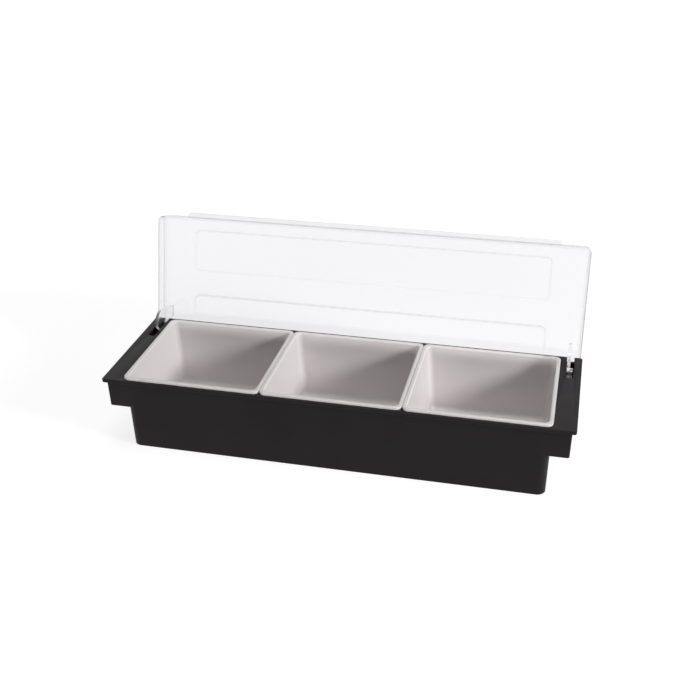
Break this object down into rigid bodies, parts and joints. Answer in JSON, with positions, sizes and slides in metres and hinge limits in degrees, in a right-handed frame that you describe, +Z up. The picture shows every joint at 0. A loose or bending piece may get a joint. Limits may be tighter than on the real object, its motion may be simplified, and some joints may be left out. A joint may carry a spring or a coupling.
{
  "type": "condiment caddy with flip lids",
  "caption": "Long bar-top garnish caddy: dark stepped base, square lift-out trays side by side under a clear hinged hood lid, shown open.",
  "frame": {"origin": "centre of the base's flat underside, on the table", "axes": "+X along the length towards the right end, +Y to the rear where the lid is hinged, +Z up"},
  "size_m": [0.495, 0.1986, 0.1991],
  "materials": {
    "black_plastic": "near-black moulded plastic with a fine matt texture",
    "white_plastic": "smooth glossy white moulded plastic",
    "clear_plastic": "water-clear smooth moulded plastic"
  },
  "bodies": {
    "base": {"base": "black_plastic"},
    "tray_left": {"tray_left": "white_plastic"},
    "tray_middle": {"tray_middle": "white_plastic"},
    "tray_right": {"tray_right": "white_plastic"},
    "lid": {"lid": "clear_plastic"}
  },
  "joints": [
    {"name": "lid_hinge", "type": "hinge", "parent": "base", "child": "lid", "pos_m": [0, 0.0603, 0.0706], "axis": [1, 0, 0], "range_deg": [0, 104.7]},
    {"name": "tray_left_lift", "type": "slide", "parent": "base", "child": "tray_left", "axis": [0, 0, 1], "range_m": [0, 0.0095]},
    {"name": "tray_middle_lift", "type": "slide", "parent": "base", "child": "tray_middle", "axis": [0, 0, 1], "range_m": [0, 0.0095]},
    {"name": "tray_right_lift", "type": "slide", "parent": "base", "child": "tray_right", "axis": [0, 0, 1], "range_m": [0, 0.0095]}
  ]
}
